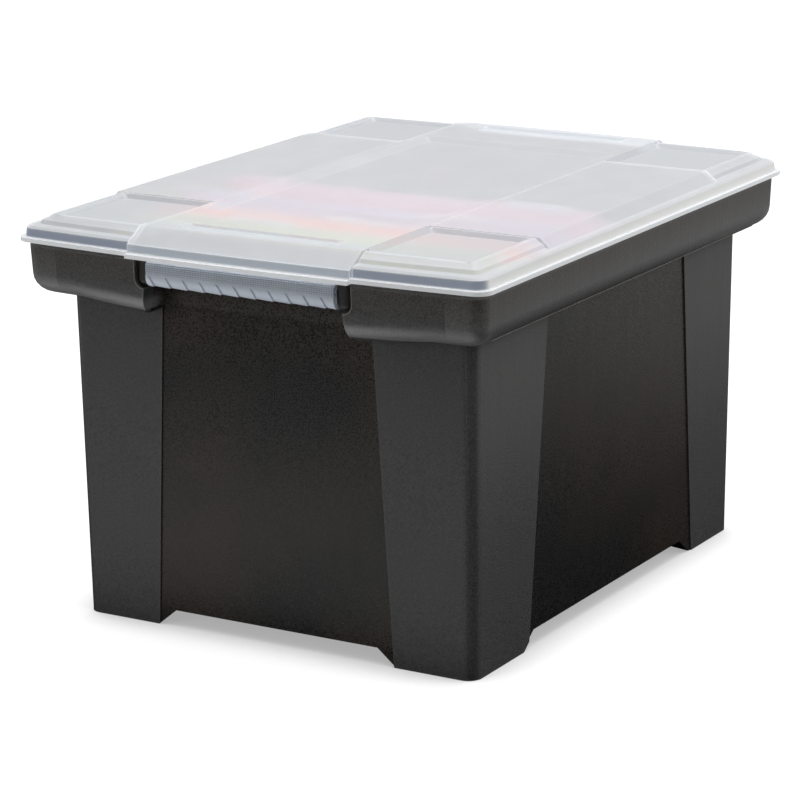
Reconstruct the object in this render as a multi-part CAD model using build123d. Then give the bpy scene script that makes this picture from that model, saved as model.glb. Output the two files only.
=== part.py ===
"""Portable file box: a drafted tub on four corner feet, a snap lid and two swinging grips.

All sizes are in millimetres. The origin is the middle of the footprint on the floor,
X runs across the short sides, Y along the long sides and Z up. The two handles are at -Y and +Y.
"""
import math
import os

from build123d import *

# ---- driving dimensions: tub ----
BODY_WIDTH_FLOOR, BODY_WIDTH_TOP = 308.8, 314.2
BODY_LENGTH_FLOOR, BODY_LENGTH_TOP = 388.0, 392.6
BODY_TOP_Z = 232.0
BODY_CORNER_R = 10.0
WALL = 2.6
FLOOR_Z = 11.5
FLOOR_T = 2.8

# Sunken panels between the corner legs: half widths at the top and at the floor
PANEL_DEPTH = 1.1
PANEL_TOP_Z = 227.5
END_PANEL_HALF_TOP, END_PANEL_HALF_FLOOR = 81.5, 93.5
SIDE_PANEL_HALF_TOP, SIDE_PANEL_HALF_FLOOR = 102.0, 124.5
SIDE_PANEL_MIDDLE_Y = 5.0

# Clear space under the floor between the feet: half widths at the ground and under the floor
END_ARCH_HALF_GROUND, END_ARCH_HALF_FLOOR = 94.0, 80.0
SIDE_ARCH_HALF_GROUND, SIDE_ARCH_HALF_FLOOR = 126.5, 111.0
ARCH_SPREAD = 0.24
FOOT_SOLE_T = 3.0
FOOT_WELL_X, FOOT_WELL_Y = (114.0, 150.6), (146.0, 189.8)

# Rim: outer size at its top edge, bowed out at the ends
RIM_WIDTH = 352.2
RIM_LENGTH = 438.4
BOW = 6.5
RIM_CORNER_R = 11.0
RIM_TOP_Z = 274.9
RIM_EDGE_IN, RIM_EDGE_H = 1.7, 3.4
RIM_STEP_LOW_Z, RIM_STEP_HIGH_Z, RIM_STEP_OUT = 263.4, 264.6, 1.0
RIM_ROLL_TOP_Z = 244.0
RIM_DRAFT = 1.2
RIM_ROLL_R = 14.5
RIM_WALL = 2.4
COLLAR_H = 2.2
COLLAR_OUT = 1.3

# The rim's roll sinks lower beside the handles, from LOBE_FAR_X to LOBE_NEAR_X
LOBE_FAR_X, LOBE_NEAR_X, LOBE_STEPS = 146.0, 70.0, 5
LOBE_FAR_DROP, LOBE_NEAR_DROP = -1.0, 5.3
LOBE_FACE_IN = 0.05
LOBE_HIGH_Z = 251.0

# Hanging rails for the folders
RAIL_FOOT_Z, RAIL_TOP_Z = 222.0, 254.0

# ---- driving dimensions: handle recess and handle ----
NOTCH_HALF_TOP, NOTCH_HALF_FOOT = 76.6, 80.0
NOTCH_BEND_Z = 244.8
NOTCH_BACK_Y = 198.4
POCKET_HALF = 83.4
POCKET_BACK_Y = 211.0
POCKET_FLOOR_Z = 244.6
POCKET_R = 7.0

PIVOT_Y, PIVOT_Z = 218.6, 250.8
STUD_R = 2.4
STUD_CLEARANCE = 0.06
STUD_REACH = 3.2
GRIP_END_GAP = 0.2
BLOCK_HALF_IN, BLOCK_HALF_OUT = 73.4, 82.9
BLOCK_R = 5.2
BLOCK_CORNER_R = 5.1
GRIP_FRONT_Y, GRIP_BACK_Y = 228.4, 213.6
HANDLE_LOW_Z, HANDLE_HIGH_Z = PIVOT_Z - BLOCK_R, 264.6
BAR_FRONT_Y, BAR_BACK_Y = 224.0, 216.6
BAR_LOW_Z, BAR_HIGH_Z = 250.0, 260.5
BAR_EDGE_R = 1.5
BAR_LAP = 1.0
HANDLE_EDGE_R = 4.0

# ---- driving dimensions: lid ----
LID_WIDTH = 362.0
LID_LENGTH = 448.6
LID_CORNER_R = 11.0
LID_T = 1.6
FLANGE_Z, FLANGE_T = 266.5, 2.8
SKIRT_IN, SKIRT_TOP_IN = 3.0, 3.6
SKIRT_TOP_Z = 275.6
LEDGE_Z = 277.0
BEVEL_FOOT_IN, BEVEL_TOP_IN = 7.5, 15.5
LID_TOP_Z = 284.0
COLUMN_RISE = 0.5
CORNER_TOP_Z = 283.3
CORNER_X, CORNER_Y = 85.6, 125.0
MIDDLE_HALF = 85.6
MIDDLE_PROUD = 3.2
MIDDLE_DROP = 0.8

SEAT_FLOOR_Z = 280.6
SEAT_X, SEAT_Y = (84.5, 160.0), (126.0, 206.5)
MID_RECESS = (78.5, 150.0)
MID_RECESS_FLOOR_Z = 281.2
TROUGH_X, TROUGH_Y = 59.0, (193.5, 206.5)
TROUGH_DEPTH = 1.4
SEAT_SLOPE, MID_SLOPE, TROUGH_SLOPE = 3.5, 6.0, 1.5
HOLLOW_FLOOR_R, HOLLOW_TOP_R = 2.5, 3.0

# ---- driving dimensions: hanging folders ----
FOLDER_HALF = 148.8
FOLDER_LOW_Z, FOLDER_TOP_Z = 19.0, 254.3
FOLDER_GAP = 9.0
CARD_T = 0.9
ROD_HALF = 162.0
ROD_H, ROD_T = 3.2, 1.6
HOOK_DROP, HOOK_W = 5.0, 3.2
TAB_W, TAB_H, TAB_T = 52.0, 12.5, 0.9
TAB_CORNER_R = 3.0

# Cutting shapes run this far past the faces they cut
CUT = 5.0
FAR = 400.0

# Each folder's place along Y and its tab's place along X
FOLDERS = {
    "teal": (-168.0, -92.0),
    "yellow": (-134.0, -38.0),
    "red": (-99.0, 16.0),
    "violet": (-60.0, 70.0),
    "pink": (-6.0, 104.0),
}


def bowed_face(half_x, half_y, bow, radius, z):
    """A rounded rectangle whose two short sides bulge outwards by bow."""
    sides = [
        ThreePointArc((-half_x, -half_y), (0, -half_y - bow), (half_x, -half_y)),
        Line((half_x, -half_y), (half_x, half_y)),
        ThreePointArc((half_x, half_y), (0, half_y + bow), (-half_x, half_y)),
        Line((-half_x, half_y), (-half_x, -half_y)),
    ]
    face = make_face(Wire(sides))
    face = fillet(face.vertices(), radius)
    return Pos(0, 0, z) * face


def stack(sections):
    """A solid through flat sections, straight from each one to the next."""
    solid = None
    for lower, upper in zip(sections, sections[1:]):
        piece = loft([lower, upper], ruled=True)
        solid = piece if solid is None else solid + piece
    return solid


def plain_block(x_range, y_range, z_range):
    """A block between the given limits."""
    size = [high - low for low, high in (x_range, y_range, z_range)]
    middle = [(high + low) / 2 for low, high in (x_range, y_range, z_range)]
    return Pos(*middle) * Box(*size)


def both_ends(shape):
    """The shape and its mirror image at the other short end."""
    return shape + mirror(shape, about=Plane.XZ)


def four_corners(shape):
    """The shape repeated in all four corners."""
    pair = shape + mirror(shape, about=Plane.YZ)
    return pair + mirror(pair, about=Plane.XZ)


# ---- tub ----

def body_face(inset, z):
    """The drafted body's section at height z, pulled in by inset."""
    share = z / BODY_TOP_Z
    width = BODY_WIDTH_FLOOR + share * (BODY_WIDTH_TOP - BODY_WIDTH_FLOOR) - 2 * inset
    length = BODY_LENGTH_FLOOR + share * (BODY_LENGTH_TOP - BODY_LENGTH_FLOOR) - 2 * inset
    return Pos(0, 0, z) * RectangleRounded(width, length, BODY_CORNER_R - inset)


def rim_face(inset, z):
    """The rim's outer section at height z, pulled in by inset."""
    draft = RIM_DRAFT * (RIM_TOP_Z - z) / (RIM_TOP_Z - RIM_ROLL_TOP_Z)
    draft = min(draft, RIM_DRAFT)
    if z <= RIM_STEP_LOW_Z:
        draft -= RIM_STEP_OUT
    half_x = RIM_WIDTH / 2 - draft - inset
    half_y = RIM_LENGTH / 2 - draft - inset
    radius = max(RIM_CORNER_R - 0.6 * inset, 2.0)
    return bowed_face(half_x, half_y, BOW, radius, z)


def rim_block(inset, rise):
    """The rim with its rolled lower edge; inset and rise give the space inside it."""
    sections = []
    steps = 6
    for step in range(steps, -1, -1):
        turn = math.radians(90 * step / steps)
        roll_in = RIM_ROLL_R * (1 - math.cos(turn))
        roll_down = RIM_ROLL_R * math.sin(turn)
        sections.append(rim_face(inset + roll_in, RIM_ROLL_TOP_Z - roll_down + rise))
    sections.append(rim_face(inset, RIM_STEP_LOW_Z))
    sections.append(rim_face(inset, RIM_STEP_HIGH_Z))
    sections.append(rim_face(inset, RIM_TOP_Z - RIM_EDGE_H))
    if rise:
        sections.append(rim_face(inset, RIM_TOP_Z + CUT))
    else:
        sections.append(rim_face(inset + RIM_EDGE_IN, RIM_TOP_Z))
    return stack(sections)


def bow_at(x):
    """How far the rim's bowed end stands out at x, past its corners."""
    return BOW * (1 - (2 * x / RIM_WIDTH) ** 2)


def lobe_section(x, drop, inset):
    """The front rim cut at x: a flat face, the roll under it, and the hollow behind."""
    face_y = -(RIM_LENGTH / 2 - RIM_DRAFT + RIM_STEP_OUT + bow_at(x)) + inset + LOBE_FACE_IN
    roll_y, roll_z = face_y + RIM_ROLL_R, RIM_ROLL_TOP_Z - drop + inset
    back_y = -BODY_LENGTH_FLOOR / 2 - WALL / 2
    middle = RIM_ROLL_R * math.sqrt(0.5)
    side = Plane.YZ.offset(x)
    return make_face(Wire([
        side * Line((face_y, LOBE_HIGH_Z), (face_y, roll_z)),
        side * ThreePointArc(
            (face_y, roll_z), (roll_y - middle, roll_z - middle), (roll_y, roll_z - RIM_ROLL_R)),
        side * Line((roll_y, roll_z - RIM_ROLL_R), (back_y, roll_z - RIM_ROLL_R)),
        side * Line((back_y, roll_z - RIM_ROLL_R), (back_y, LOBE_HIGH_Z)),
        side * Line((back_y, LOBE_HIGH_Z), (face_y, LOBE_HIGH_Z)),
    ]))


def lobe(inset):
    """The front rim beside the handle, whose roll sinks lower towards the handle."""
    sections = []
    for step in range(LOBE_STEPS + 1):
        share = step / LOBE_STEPS
        x = LOBE_FAR_X + share * (LOBE_NEAR_X - LOBE_FAR_X)
        drop = LOBE_FAR_DROP + share * (LOBE_NEAR_DROP - LOBE_FAR_DROP)
        sections.append(lobe_section(x, drop, inset))
    right = stack(sections)
    return right + mirror(right, about=Plane.YZ)


def notch(grow):
    """The open space round the front handle, grown by a wall's thickness where asked."""
    top_z = RIM_TOP_Z + CUT
    front_y = -RIM_LENGTH / 2 - BOW - CUT
    low_z = RIM_ROLL_TOP_Z - RIM_ROLL_R - LOBE_NEAR_DROP - CUT
    half_top = NOTCH_HALF_TOP + grow
    half_foot = NOTCH_HALF_FOOT + grow
    outline = Polyline(
        (-half_foot, low_z), (half_foot, low_z), (half_top, NOTCH_BEND_Z), (half_top, top_z),
        (-half_top, top_z), (-half_top, NOTCH_BEND_Z), close=True,
    )
    depth = -NOTCH_BACK_Y + grow - front_y
    gap = extrude(make_face(Plane.XZ.offset(-front_y) * outline), -depth)
    pocket_low = POCKET_FLOOR_Z - grow
    pocket = plain_block(
        (-POCKET_HALF - grow, POCKET_HALF + grow),
        (front_y, -POCKET_BACK_Y + grow),
        (pocket_low, top_z),
    )
    lower_edges = pocket.edges().filter_by(Axis.Y).group_by(Axis.Z)[0]
    pocket = fillet(lower_edges, POCKET_R + grow)
    return gap + pocket


def make_tub():
    """One moulding: body, corner legs and feet, floor, rim, rails and handle recesses."""
    body = loft([body_face(0, 0), body_face(0, BODY_TOP_Z)], ruled=True)
    collar_low = RIM_ROLL_TOP_Z - RIM_ROLL_R - COLLAR_H
    collar = extrude(body_face(-COLLAR_OUT, collar_low), COLLAR_H + 1)
    outside = body + collar + rim_block(0, 0) + both_ends(lobe(0)) - both_ends(notch(0))

    lower_space = loft([body_face(WALL, FLOOR_Z + FLOOR_T), body_face(WALL, RIM_TOP_Z + CUT)], ruled=True)
    upper_space = rim_block(RIM_WALL, RIM_WALL) + both_ends(lobe(RIM_WALL)) - both_ends(notch(RIM_WALL))
    tub = outside - lower_space - upper_space

    rail = loft([body_face(0, RAIL_FOOT_Z), body_face(0, RAIL_TOP_Z)], ruled=True)
    tub += rail - lower_space

    tub -= panels() + arches()
    tub -= four_corners(foot_well())
    return tub - both_ends(stud_holes())


def panels():
    """The four shallow wedges that sink the faces between the legs."""
    end_lean = (BODY_LENGTH_TOP - BODY_LENGTH_FLOOR) / 2 / BODY_TOP_Z
    side_lean = (BODY_WIDTH_TOP - BODY_WIDTH_FLOOR) / 2 / BODY_TOP_Z
    end_low = BODY_LENGTH_FLOOR / 2 - PANEL_DEPTH
    side_low = BODY_WIDTH_FLOOR / 2 - PANEL_DEPTH
    end_high = end_low + end_lean * PANEL_TOP_Z
    side_high = side_low + side_lean * PANEL_TOP_Z

    end_outline = panel_outline(END_PANEL_HALF_FLOOR, END_PANEL_HALF_TOP, 0)
    end_core_top = Pos(0, 0, PANEL_TOP_Z) * Rectangle(FAR, 2 * end_high)
    end_core = loft([Rectangle(FAR, 2 * end_low), end_core_top], ruled=True)
    ends = extrude(make_face(Plane.XZ * end_outline), FAR, both=True) - end_core

    side_outline = panel_outline(SIDE_PANEL_HALF_FLOOR, SIDE_PANEL_HALF_TOP, SIDE_PANEL_MIDDLE_Y)
    side_core_top = Pos(0, 0, PANEL_TOP_Z) * Rectangle(2 * side_high, FAR)
    side_core = loft([Rectangle(2 * side_low, FAR), side_core_top], ruled=True)
    sides = extrude(make_face(Plane.YZ * side_outline), FAR, both=True) - side_core
    return ends + sides


def panel_outline(half_floor, half_top, middle):
    """The four-sided outline of a sunken panel, wider at the floor than under the rim."""
    return Polyline(
        (middle - half_floor, 0), (middle + half_floor, 0),
        (middle + half_top, PANEL_TOP_Z), (middle - half_top, PANEL_TOP_Z), close=True,
    )


def arches():
    """The space under the floor, open on all four sides and wider towards the middle of the box."""
    end_reach = BODY_LENGTH_FLOOR / 2
    end_cut = loft([
        arch_face(END_ARCH_HALF_GROUND, END_ARCH_HALF_FLOOR, -CUT, Plane.XZ.offset(end_reach + CUT)),
        arch_face(END_ARCH_HALF_GROUND, END_ARCH_HALF_FLOOR, end_reach, Plane.XZ),
    ], ruled=True)
    side_reach = BODY_WIDTH_FLOOR / 2
    side_cut = loft([
        arch_face(SIDE_ARCH_HALF_GROUND, SIDE_ARCH_HALF_FLOOR, -CUT, Plane.YZ.offset(side_reach + CUT)),
        arch_face(SIDE_ARCH_HALF_GROUND, SIDE_ARCH_HALF_FLOOR, side_reach, Plane.YZ),
    ], ruled=True)
    return both_ends(end_cut) + side_cut + mirror(side_cut, about=Plane.YZ)


def arch_face(half_ground, half_floor, behind, plane):
    """The arch's section, wider the further it lies behind the outer face."""
    ground = half_ground + behind * ARCH_SPREAD
    floor = half_floor + behind * ARCH_SPREAD
    return make_face(plane * Polyline(
        (-ground, -CUT), (ground, -CUT), (ground, 0), (floor, FLOOR_Z),
        (-floor, FLOOR_Z), (-ground, 0), close=True,
    ))


def foot_well():
    """The hollow inside one foot, open to the inside of the tub."""
    well = plain_block(FOOT_WELL_X, FOOT_WELL_Y, (FOOT_SOLE_T, FLOOR_Z + FLOOR_T + CUT))
    return fillet(well.edges().filter_by(Axis.Z), BODY_CORNER_R - WALL)


def stud_holes():
    """The bores in the pocket cheeks that carry one handle's studs."""
    length = 2 * (BLOCK_HALF_OUT + STUD_REACH + 2 * STUD_CLEARANCE)
    return on_pivot(0) * Cylinder(STUD_R + STUD_CLEARANCE, length)


# ---- handles, made at the -Y end and mirrored to the other ----

def side_section(front_y, back_y, low_z, high_z, radius):
    """A rounded section in the YZ plane."""
    outline = Rectangle(front_y - back_y, high_z - low_z)
    outline = fillet(outline.vertices(), radius)
    return Plane.YZ * Pos(-(front_y + back_y) / 2, (low_z + high_z) / 2) * outline


def make_handle_frame():
    """The stiff bar through the grip, its two end blocks and the studs it swings on."""
    bar_face = side_section(BAR_FRONT_Y, BAR_BACK_Y, BAR_LOW_Z, BAR_HIGH_Z, BAR_EDGE_R)
    bar = extrude(bar_face, BLOCK_HALF_IN + BAR_LAP, both=True)
    stud_in = BLOCK_HALF_OUT - BLOCK_CORNER_R
    stud_length = BLOCK_HALF_OUT + STUD_REACH - stud_in
    stud = on_pivot(stud_in + stud_length / 2) * Cylinder(STUD_R, stud_length)
    end = end_block() + stud
    return bar + end + mirror(end, about=Plane.YZ)


def on_pivot(x):
    """A place at x on the front handle's pivot, whose own Z runs along the pivot."""
    return Pos(x, -PIVOT_Y, PIVOT_Z) * Rot(0, 90, 0)


def end_block():
    """One end block: round about the pivot at its foot, with a rounded outer front edge."""
    width = BLOCK_HALF_OUT - BLOCK_HALF_IN
    foot = on_pivot(BLOCK_HALF_IN + width / 2) * Cylinder(BLOCK_R, width)
    outer_edge = foot.edges().group_by(Axis.X)[-1]
    foot = fillet(outer_edge, BLOCK_CORNER_R)
    post = plain_block(
        (BLOCK_HALF_IN, BLOCK_HALF_OUT),
        (-PIVOT_Y - BLOCK_R, -PIVOT_Y + BLOCK_R),
        (PIVOT_Z, HANDLE_HIGH_Z),
    )
    front_edge = post.edges().filter_by(Axis.Z).group_by(Axis.X)[-1].sort_by(Axis.Y)[0]
    post = fillet(front_edge, BLOCK_CORNER_R)
    return foot + post


def make_handle_grip():
    """The soft sleeve that fits round the bar between the end blocks."""
    outside = side_section(GRIP_FRONT_Y, GRIP_BACK_Y, HANDLE_LOW_Z, HANDLE_HIGH_Z, HANDLE_EDGE_R)
    hole = side_section(BAR_FRONT_Y, BAR_BACK_Y, BAR_LOW_Z, BAR_HIGH_Z, BAR_EDGE_R)
    return extrude(outside - hole, BLOCK_HALF_IN - GRIP_END_GAP, both=True)


# ---- lid ----

def lid_face(inset, z):
    """The lid's outline pulled in by inset, at height z."""
    radius = max(LID_CORNER_R - 0.5 * inset, 3.0)
    return bowed_face(LID_WIDTH / 2 - inset, LID_LENGTH / 2 - inset, BOW, radius, z)


def lid_stack(profile, shrink, drop, top_z=None):
    """A solid under a profile of (inset, height) pairs, made smaller by shrink and drop."""
    sections = [lid_face(inset + shrink, z - drop) for inset, z in profile]
    if top_z is not None:
        sections.append(lid_face(profile[-1][0] + shrink, top_z))
    return stack(sections)


SKIRT_PROFILE = [
    (SKIRT_IN, FLANGE_Z + FLANGE_T), (SKIRT_TOP_IN, SKIRT_TOP_Z), (SKIRT_TOP_IN + 1.6, LEDGE_Z),
]
SIDE_PROFILE = SKIRT_PROFILE + [(BEVEL_FOOT_IN, LEDGE_Z + 0.2), (BEVEL_TOP_IN, LID_TOP_Z)]
CORNER_PROFILE = SKIRT_PROFILE + [
    (11.0, LEDGE_Z + 0.3), (12.8, 280.0), (15.8, 281.2), (18.2, CORNER_TOP_Z),
]
MIDDLE_PROFILE = [
    (SKIRT_IN - MIDDLE_PROUD, FLANGE_Z + FLANGE_T - MIDDLE_DROP),
    (SKIRT_TOP_IN - MIDDLE_PROUD, SKIRT_TOP_Z - MIDDLE_DROP),
    (SKIRT_TOP_IN + 1.4 - MIDDLE_PROUD, LEDGE_Z - 1.0),
    (BEVEL_TOP_IN, LID_TOP_Z + COLUMN_RISE),
]


def zone(x_range, y_range):
    """A tall block that picks out one part of the lid."""
    return plain_block(x_range, y_range, (FLANGE_Z - 4 * CUT, LID_TOP_Z + CUT))


def lid_envelope(shrink, drop):
    """The lid's outer form, or with shrink and drop the form of the space inside it."""
    foot_z = FLANGE_Z - LID_T - 1 + drop
    body = lid_stack([(SKIRT_IN, foot_z)] + SIDE_PROFILE, shrink, drop)
    corner_body = lid_stack([(SKIRT_IN, foot_z)] + CORNER_PROFILE, shrink, drop)
    corner_zone = four_corners(zone((CORNER_X - shrink, LID_WIDTH), (CORNER_Y - shrink, LID_LENGTH)))
    form = (body - corner_zone) + (corner_body & corner_zone)
    middle = lid_stack([(SKIRT_IN - MIDDLE_PROUD, foot_z)] + MIDDLE_PROFILE, shrink, drop)
    middle_zone = zone((-MIDDLE_HALF + shrink, MIDDLE_HALF - shrink), (-LID_LENGTH, LID_LENGTH))
    return form + (middle & middle_zone)


def sunk(half_sizes, slope, floor_z, top_z):
    """A shallow hollow, four-sided, whose walls lean out by slope."""
    half_x, half_y = half_sizes
    low = RectangleRounded(2 * (half_x - slope), 2 * (half_y - slope), HOLLOW_FLOOR_R)
    high = RectangleRounded(2 * half_x, 2 * half_y, HOLLOW_TOP_R)
    return loft([Pos(0, 0, floor_z) * low, Pos(0, 0, top_z) * high], ruled=True)


def lid_hollows(grow, drop):
    """The corner seats, the middle recess and the two troughs, as shapes to take away."""
    top_z = LID_TOP_Z + COLUMN_RISE + 0.02
    seat_half = ((SEAT_X[1] - SEAT_X[0]) / 2 + grow, (SEAT_Y[1] - SEAT_Y[0]) / 2 + grow)
    seat_middle = ((SEAT_X[1] + SEAT_X[0]) / 2, (SEAT_Y[1] + SEAT_Y[0]) / 2)
    seat = Pos(*seat_middle, 0) * sunk(seat_half, SEAT_SLOPE, SEAT_FLOOR_Z - drop, top_z)
    middle_half = (MID_RECESS[0] + grow, MID_RECESS[1] + grow)
    middle = sunk(middle_half, MID_SLOPE, MID_RECESS_FLOOR_Z - drop, top_z)
    trough_half = (TROUGH_X + grow, (TROUGH_Y[1] - TROUGH_Y[0]) / 2 + grow)
    trough_middle = (TROUGH_Y[1] + TROUGH_Y[0]) / 2
    trough_floor_z = top_z - TROUGH_DEPTH - drop
    trough = Pos(0, trough_middle, 0) * sunk(trough_half, TROUGH_SLOPE, trough_floor_z, top_z)
    return four_corners(seat) + middle + both_ends(trough)


def flat_lip(inset, low_z):
    """The lip round the lid's foot, pulled in by inset."""
    return lid_stack([(inset, low_z), (inset, low_z + FLANGE_T)], 0, 0)


def make_lid():
    """One thin moulding: lip, skirt, bevel and the sunk corner seats."""
    outside = lid_envelope(0, 0) - lid_hollows(0, 0)
    inside = lid_envelope(LID_T, LID_T) - lid_hollows(LID_T, LID_T)
    middle_zone = zone((-MIDDLE_HALF, MIDDLE_HALF), (-LID_LENGTH, LID_LENGTH))
    middle_lip = flat_lip(-MIDDLE_PROUD, FLANGE_Z - MIDDLE_DROP)
    lips = (flat_lip(0, FLANGE_Z) - middle_zone) + (middle_lip & middle_zone)
    whole = (-LID_LENGTH, LID_LENGTH)
    below = plain_block(whole, whole, (FLANGE_Z - 4 * CUT, FLANGE_Z))
    below -= plain_block((-MIDDLE_HALF, MIDDLE_HALF), whole, (FLANGE_Z - MIDDLE_DROP, FLANGE_Z + CUT))
    return (outside + lips) - inside - below


# ---- hanging folders ----

def u_block(half_x, y, half_depth, low_z, top_z):
    """A block with a round foot, one leaf's thickness inside or outside the folder."""
    block = plain_block((-half_x, half_x), (y - half_depth, y + half_depth), (low_z, top_z))
    foot_edges = block.edges().filter_by(Axis.X).group_by(Axis.Z)[0]
    return fillet(foot_edges, half_depth - 1.0)


def make_folder_sleeve(y):
    """Two leaves joined by a fold at the foot, open at the top and the sides."""
    outer = u_block(FOLDER_HALF, y, FOLDER_GAP / 2 + CARD_T, FOLDER_LOW_Z, FOLDER_TOP_Z)
    inner = u_block(FOLDER_HALF + CUT, y, FOLDER_GAP / 2, FOLDER_LOW_Z + CARD_T, FOLDER_TOP_Z + CUT)
    return outer - inner


def make_folder_rods(y):
    """The two hanger rods, each with a hook at both ends that drops behind a rail."""
    rods = Part()
    for side in (-1, 1):
        rod_y = y + side * (FOLDER_GAP / 2 + CARD_T / 2)
        y_range = (rod_y - ROD_T / 2, rod_y + ROD_T / 2)
        rods += plain_block((-ROD_HALF, ROD_HALF), y_range, (FOLDER_TOP_Z, FOLDER_TOP_Z + ROD_H))
        for end in (-1, 1):
            x_range = sorted((end * ROD_HALF, end * (ROD_HALF - HOOK_W)))
            rods += plain_block(x_range, y_range, (FOLDER_TOP_Z - HOOK_DROP, FOLDER_TOP_Z + ROD_H))
    return rods


def make_folder_tab(y, x):
    """The index tab that stands on the front rod."""
    tab_y = y - FOLDER_GAP / 2 - CARD_T / 2
    low_z = FOLDER_TOP_Z + ROD_H
    x_range = (x - TAB_W / 2, x + TAB_W / 2)
    y_range = (tab_y - TAB_T / 2, tab_y + TAB_T / 2)
    tab = plain_block(x_range, y_range, (low_z, low_z + TAB_H))
    return fillet(tab.edges().filter_by(Axis.Y).group_by(Axis.Z)[-1], TAB_CORNER_R)


def main():
    """Builds every node and writes one STEP file for each."""
    nodes = {"tub": make_tub(), "lid": make_lid()}
    frame, grip = make_handle_frame(), make_handle_grip()
    nodes["front_handle_frame"] = frame
    nodes["front_handle_grip"] = grip
    nodes["rear_handle_frame"] = mirror(frame, about=Plane.XZ)
    nodes["rear_handle_grip"] = mirror(grip, about=Plane.XZ)
    for colour, (y, tab_x) in FOLDERS.items():
        nodes[f"{colour}_folder_sleeve"] = make_folder_sleeve(y)
        nodes[f"{colour}_folder_rods"] = make_folder_rods(y)
        nodes[f"{colour}_folder_tab"] = make_folder_tab(y, tab_x)
    os.makedirs("parts", exist_ok=True)
    for name, shape in nodes.items():
        export_step(shape, f"parts/{name}.step")


main()
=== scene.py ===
"""Looks of the portable file box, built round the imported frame.

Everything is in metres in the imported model's frame: X runs across the box, +Y towards the rear
handle, and Z up from the feet. Sizes are written in millimetres times MM.
"""

import math

import bpy
from mathutils import Matrix, Vector


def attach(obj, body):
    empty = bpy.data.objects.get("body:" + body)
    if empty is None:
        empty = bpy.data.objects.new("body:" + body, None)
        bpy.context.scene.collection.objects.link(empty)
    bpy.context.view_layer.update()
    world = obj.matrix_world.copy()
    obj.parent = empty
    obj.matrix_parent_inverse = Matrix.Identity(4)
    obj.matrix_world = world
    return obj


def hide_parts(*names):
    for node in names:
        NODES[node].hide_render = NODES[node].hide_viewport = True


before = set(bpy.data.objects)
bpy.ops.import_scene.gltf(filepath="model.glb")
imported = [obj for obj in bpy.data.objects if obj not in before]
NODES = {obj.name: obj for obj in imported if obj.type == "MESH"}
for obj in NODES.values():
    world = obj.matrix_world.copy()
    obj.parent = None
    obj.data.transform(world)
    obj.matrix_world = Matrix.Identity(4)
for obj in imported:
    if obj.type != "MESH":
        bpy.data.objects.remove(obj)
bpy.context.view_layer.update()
MM = 0.001


# ---- helpers for materials ----

def srgb(red, green, blue):
    """A colour given in 0 to 255 screen values, as the linear colour that Blender uses."""
    def linear(value):
        value /= 255
        return value / 12.92 if value <= 0.04045 else ((value + 0.055) / 1.055) ** 2.4
    return (linear(red), linear(green), linear(blue), 1.0)


def grey(level):
    return (level, level, level, 1.0)


WHITE = grey(1.0)


class Nodes:
    """A node tree that is easy to build: add() makes a node, its inputs given as values or sockets."""

    def __init__(self, tree):
        self.tree = tree

    def add(self, kind, settings=None, **inputs):
        made = self.tree.nodes.new(kind)
        for name, value in (settings or {}).items():
            setattr(made, name, value)
        for name, value in inputs.items():
            key = int(name[1:]) if name[0] == "i" and name[1:].isdigit() else name.replace("_", " ")
            if isinstance(value, bpy.types.NodeSocket):
                self.tree.links.new(value, made.inputs[key])
            else:
                made.inputs[key].default_value = value
        return made

    def group(self, tree, **inputs):
        """A node group placed in this tree, with its own values."""
        return self.add("ShaderNodeGroup", {"node_tree": tree}, **inputs).outputs

    def math(self, operation, first, second=0.0, third=0.0, clamp=False):
        settings = {"operation": operation, "use_clamp": clamp}
        return self.add("ShaderNodeMath", settings, i0=first, i1=second, i2=third).outputs[0]

    def coords(self):
        """The object coordinates."""
        return self.add("ShaderNodeTexCoord").outputs["Object"]

    def split(self, vector):
        """The X, Y and Z of a vector."""
        return tuple(self.add("ShaderNodeSeparateXYZ", None, Vector=vector).outputs)

    def facing(self):
        """The X, Y and Z of the way that the surface faces."""
        return self.split(self.add("ShaderNodeNewGeometry").outputs["Normal"])

    def step(self, value, low, high):
        """0 below low, 1 above high and smooth between; works downwards too if low is the larger."""
        ends = {"From_Min": min(low, high), "From_Max": max(low, high)}
        if low > high:
            ends.update(To_Min=1.0, To_Max=0.0)
        settings = {"interpolation_type": "SMOOTHSTEP"}
        return self.add("ShaderNodeMapRange", settings, Value=value, **ends).outputs[0]

    def noise(self, coords, scale, detail, roughness):
        inputs = {"Vector": coords, "Scale": scale, "Detail": detail, "Roughness": roughness}
        return self.add("ShaderNodeTexNoise", None, **inputs).outputs[0]

    def stretched(self, coords, x, y, z):
        """The coordinates scaled by x, y and z, for a pattern that is longer one way."""
        return self.add("ShaderNodeMapping", None, Vector=coords, Scale=(x, y, z)).outputs[0]

    def mix(self, share, first, second):
        """A colour between first and second."""
        return self.add("ShaderNodeMix", {"data_type": "RGBA"}, i0=share, i6=first, i7=second).outputs[2]

    def tones(self, share, pair):
        """A colour between the two of a pair given in 0 to 255 screen values."""
        first, second = pair
        return self.mix(share, srgb(*first), srgb(*second))

    def lerp(self, share, first, second):
        """A number between first and second."""
        return self.add("ShaderNodeMix", {"data_type": "FLOAT"}, i0=share, i2=first, i3=second).outputs[0]

    def bump(self, height, distance, strength, **normal):
        inputs = {"Height": height, "Distance": distance, "Strength": strength, **normal}
        return self.add("ShaderNodeBump", None, **inputs).outputs[0]

    def blend(self, share, first, second):
        """A shader between first and second."""
        inputs = {"i0": share, "i1": first.outputs[0], "i2": second.outputs[0]}
        return self.add("ShaderNodeMixShader", None, **inputs)


def new_material(name):
    """An empty node material, its Nodes and its output node."""
    material = bpy.data.materials.new(name)
    material.use_nodes = True
    material.node_tree.nodes.clear()
    build = Nodes(material.node_tree)
    return material, build, build.add("ShaderNodeOutputMaterial")


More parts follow.
